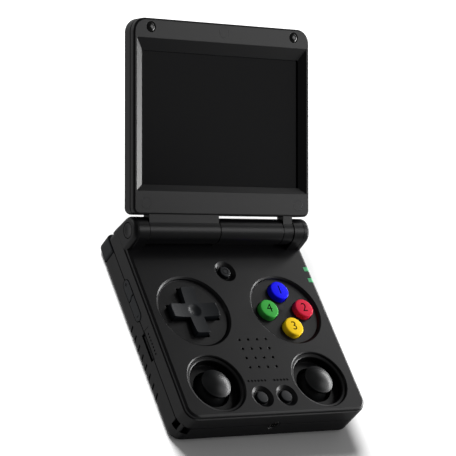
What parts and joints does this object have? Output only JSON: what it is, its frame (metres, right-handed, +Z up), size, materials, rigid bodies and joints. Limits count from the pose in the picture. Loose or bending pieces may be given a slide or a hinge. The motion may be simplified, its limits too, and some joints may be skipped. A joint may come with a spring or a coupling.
{
  "type": "clamshell handheld game console",
  "caption": "Pocket clamshell game console with a hinged screen lid, direction pad, face buttons, thumb sticks, shoulder buttons and a speaker grille, standing open.",
  "frame": {"origin": "middle of the underside of the open console's bounding box, on the surface it stands on", "axes": "+X to the player's right, +Y from the player's edge to the open lid, +Z up"},
  "size_m": [0.0852, 0.151, 0.0727],
  "materials": {
    "shell_black": "fine matte moulded texture",
    "key_black": "satin moulded",
    "rubber_black": "satin",
    "glass_black": "polished, dark",
    "display_black": "smooth",
    "button_blue": "satin moulded",
    "button_green": "satin moulded",
    "button_red": "satin moulded",
    "button_yellow": "satin moulded",
    "light_green": "frosted, lit",
    "board_green": "solder mask",
    "battery_silver": "foil pouch",
    "steel": "satin",
    "silicone_grey": "matte"
  },
  "bodies": {
    "base": {"upper_shell": "shell_black", "lower_shell": "shell_black", "case_screw_1": "steel", "case_screw_2": "steel", "case_screw_3": "steel", "case_screw_4": "steel", "case_screw_5": "steel", "case_screw_6": "steel", "light_guide": "light_green", "hinge_cap_left": "shell_black", "hinge_cap_right": "shell_black", "hinge_shaft": "steel", "hinge_pin": "steel", "main_board": "board_green", "battery_pack": "battery_silver", "speaker_unit": "steel", "face_membrane": "silicone_grey", "dpad_membrane": "silicone_grey", "small_button_membrane": "silicone_grey", "headphone_jack": "rubber_black", "charging_port": "steel", "video_port": "steel", "card_socket": "steel", "stick_housing_left": "steel", "stick_housing_right": "steel"},
    "lid": {"lid_bezel": "shell_black", "lid_cover": "shell_black", "cover_glass": "glass_black", "display_panel": "display_black", "hinge_cartridge": "steel", "bumper_left": "rubber_black", "bumper_right": "rubber_black", "screw_cover_left": "rubber_black", "screw_cover_right": "rubber_black", "screw_cover_top": "rubber_black", "lid_screw_left": "steel", "lid_screw_right": "steel", "lid_screw_top": "steel"},
    "dpad_rocker": {"dpad_pivot": "silicone_grey"},
    "dpad": {"direction_pad": "key_black"},
    "top_button": {"face_button_top": "button_blue"},
    "left_button": {"face_button_left": "button_green"},
    "right_button": {"face_button_right": "button_red"},
    "bottom_button": {"face_button_bottom": "button_yellow"},
    "select": {"select_button": "key_black"},
    "start": {"start_button": "key_black"},
    "menu": {"menu_button": "key_black"},
    "left_stick_ring": {"stick_gimbal_left": "steel"},
    "left_stick": {"stick_left": "rubber_black"},
    "right_stick_ring": {"stick_gimbal_right": "steel"},
    "right_stick": {"stick_right": "rubber_black"},
    "volume_up": {"volume_up_key": "key_black"},
    "volume_down": {"volume_down_key": "key_black"},
    "power": {"power_button": "key_black"},
    "reset": {"reset_button": "key_black"},
    "left_outer_shoulder": {"shoulder_left_outer": "key_black"},
    "left_inner_shoulder": {"shoulder_left_inner": "key_black"},
    "right_outer_shoulder": {"shoulder_right_outer": "key_black"},
    "right_inner_shoulder": {"shoulder_right_inner": "key_black"},
    "card": {"memory_card": "key_black"}
  },
  "joints": [
    {"name": "lid_hinge", "type": "hinge", "parent": "base", "child": "lid", "pos_m": [0, 0.00657, 0.02212], "axis": [-1, 0, 0], "range_deg": [-145, 10]},
    {"name": "dpad_pitch", "type": "hinge", "parent": "base", "child": "dpad_rocker", "pos_m": [-0.02201, -0.02791, 0.012], "axis": [1, 0, 0], "range_deg": [-3.5, 3.5], "stiffness_Nm_per_rad": 0.6},
    {"name": "dpad_roll", "type": "hinge", "parent": "dpad_rocker", "child": "dpad", "pos_m": [-0.02201, -0.02791, 0.012], "axis": [0, 1, 0], "range_deg": [-3.5, 3.5], "stiffness_Nm_per_rad": 0.6},
    {"name": "top_button_press", "type": "slide", "parent": "base", "child": "top_button", "axis": [0, 0, -1], "range_m": [0, 0.001], "stiffness_N_per_m": 1000},
    {"name": "left_button_press", "type": "slide", "parent": "base", "child": "left_button", "axis": [0, 0, -1], "range_m": [0, 0.001], "stiffness_N_per_m": 1000},
    {"name": "right_button_press", "type": "slide", "parent": "base", "child": "right_button", "axis": [0, 0, -1], "range_m": [0, 0.001], "stiffness_N_per_m": 1000},
    {"name": "bottom_button_press", "type": "slide", "parent": "base", "child": "bottom_button", "axis": [0, 0, -1], "range_m": [0, 0.001], "stiffness_N_per_m": 1000},
    {"name": "select_press", "type": "slide", "parent": "base", "child": "select", "axis": [0, 0, -1], "range_m": [0, 0.0007], "stiffness_N_per_m": 1000},
    {"name": "start_press", "type": "slide", "parent": "base", "child": "start", "axis": [0, 0, -1], "range_m": [0, 0.0007], "stiffness_N_per_m": 1000},
    {"name": "menu_press", "type": "slide", "parent": "base", "child": "menu", "axis": [0, 0, -1], "range_m": [0, 0.0007], "stiffness_N_per_m": 1000},
    {"name": "left_stick_pitch", "type": "hinge", "parent": "base", "child": "left_stick_ring", "pos_m": [-0.0244, -0.06067, 0.0078], "axis": [1, 0, 0], "range_deg": [-16, 16], "stiffness_Nm_per_rad": 0.02},
    {"name": "left_stick_roll", "type": "hinge", "parent": "left_stick_ring", "child": "left_stick", "pos_m": [-0.0244, -0.06067, 0.0078], "axis": [0, 1, 0], "range_deg": [-16, 16], "stiffness_Nm_per_rad": 0.02},
    {"name": "right_stick_pitch", "type": "hinge", "parent": "base", "child": "right_stick_ring", "pos_m": [0.0244, -0.06067, 0.0078], "axis": [1, 0, 0], "range_deg": [-16, 16], "stiffness_Nm_per_rad": 0.02},
    {"name": "right_stick_roll", "type": "hinge", "parent": "right_stick_ring", "child": "right_stick", "pos_m": [0.0244, -0.06067, 0.0078], "axis": [0, 1, 0], "range_deg": [-16, 16], "stiffness_Nm_per_rad": 0.02},
    {"name": "volume_up_press", "type": "slide", "parent": "base", "child": "volume_up", "axis": [1, 0, 0], "range_m": [0, 0.0006], "stiffness_N_per_m": 1200},
    {"name": "volume_down_press", "type": "slide", "parent": "base", "child": "volume_down", "axis": [1, 0, 0], "range_m": [0, 0.0006], "stiffness_N_per_m": 1200},
    {"name": "power_press", "type": "slide", "parent": "base", "child": "power", "axis": [-1, 0, 0], "range_m": [0, 0.0006], "stiffness_N_per_m": 1200},
    {"name": "reset_press", "type": "slide", "parent": "base", "child": "reset", "axis": [-1, 0, 0], "range_m": [0, 0.0006], "stiffness_N_per_m": 1200},
    {"name": "left_outer_shoulder_press", "type": "slide", "parent": "base", "child": "left_outer_shoulder", "axis": [0, -1, 0], "range_m": [0, 0.0008], "stiffness_N_per_m": 1000},
    {"name": "left_inner_shoulder_press", "type": "slide", "parent": "base", "child": "left_inner_shoulder", "axis": [0, -1, 0], "range_m": [0, 0.0008], "stiffness_N_per_m": 1000},
    {"name": "right_outer_shoulder_press", "type": "slide", "parent": "base", "child": "right_outer_shoulder", "axis": [0, -1, 0], "range_m": [0, 0.0008], "stiffness_N_per_m": 1000},
    {"name": "right_inner_shoulder_press", "type": "slide", "parent": "base", "child": "right_inner_shoulder", "axis": [0, -1, 0], "range_m": [0, 0.0008], "stiffness_N_per_m": 1000},
    {"name": "card_slide", "type": "slide", "parent": "base", "child": "card", "axis": [-1, 0, 0], "range_m": [-0.0008, 0.012]}
  ]
}
